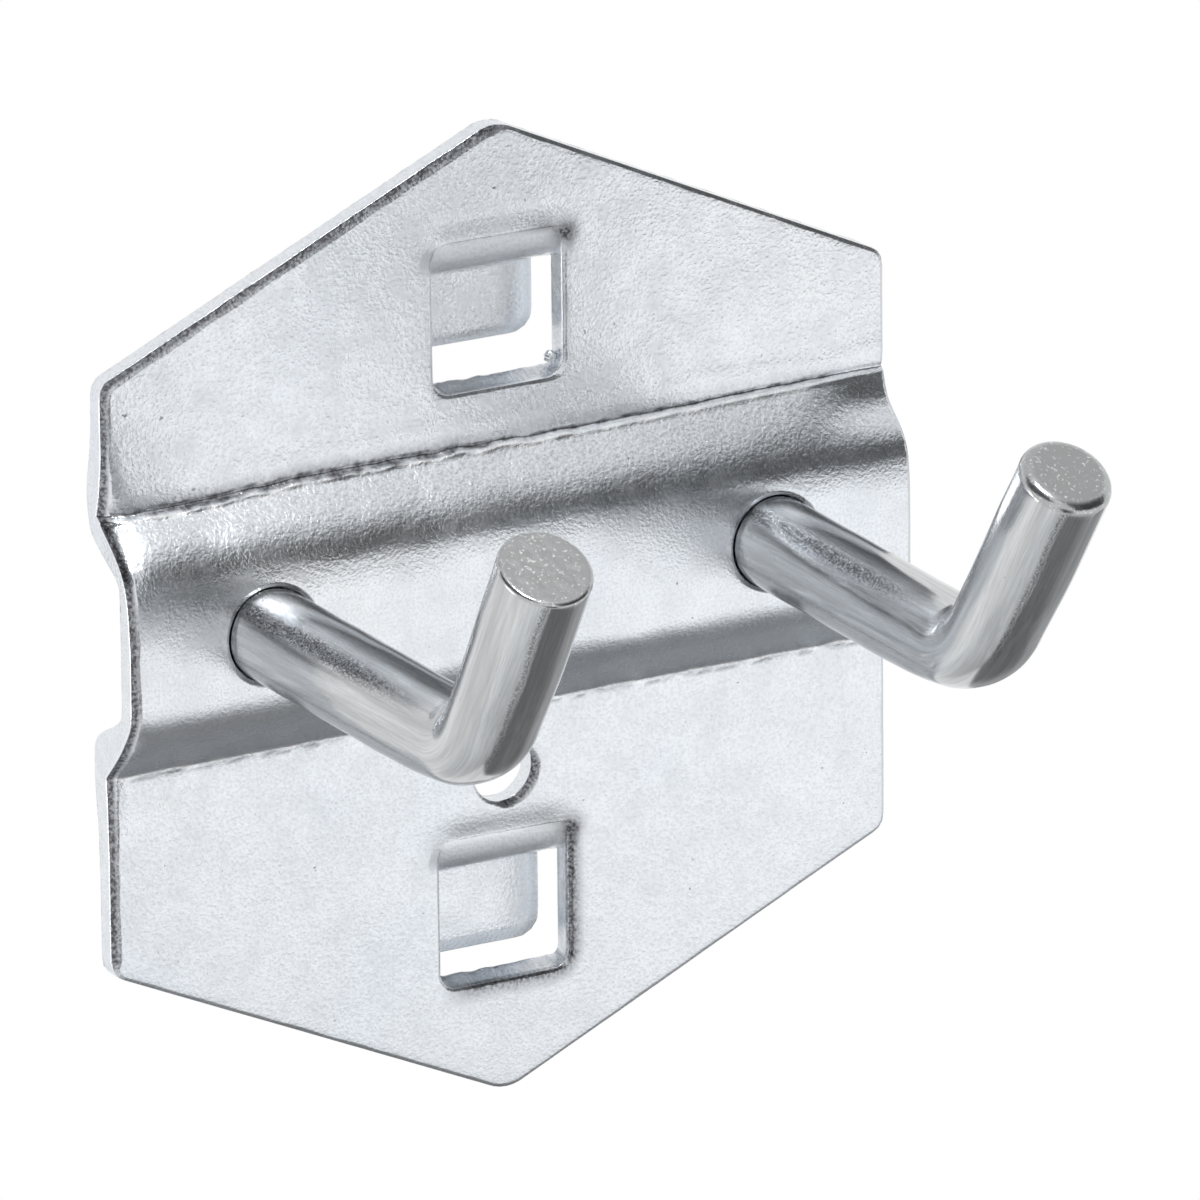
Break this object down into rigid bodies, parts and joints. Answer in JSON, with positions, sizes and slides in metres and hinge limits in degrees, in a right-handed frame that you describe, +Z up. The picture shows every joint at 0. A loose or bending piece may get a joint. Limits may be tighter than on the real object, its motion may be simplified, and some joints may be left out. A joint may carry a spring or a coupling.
{
  "type": "pegboard hook",
  "caption": "Steel hook for a square-hole tool panel: a pressed plate with lanced tabs that hook into the panel and welded round pegs that stand out and turn up.",
  "frame": {"origin": "on the plane of the plate's back face, half way across the plate and half way up it", "axes": "+X to the right as seen from the front, +Y into the panel, +Z up"},
  "size_m": [0.054, 0.0446, 0.0614],
  "materials": {
    "plate_zinc": "zinc plated, fine-grained satin",
    "peg_zinc": "zinc plated, bright drawn bar",
    "weld": "zinc plated weld, rough"
  },
  "bodies": {
    "root": {"back_plate": "plate_zinc", "left_peg": "peg_zinc", "right_peg": "peg_zinc", "left_weld_bead": "weld", "right_weld_bead": "weld"}
  },
  "joints": []
}
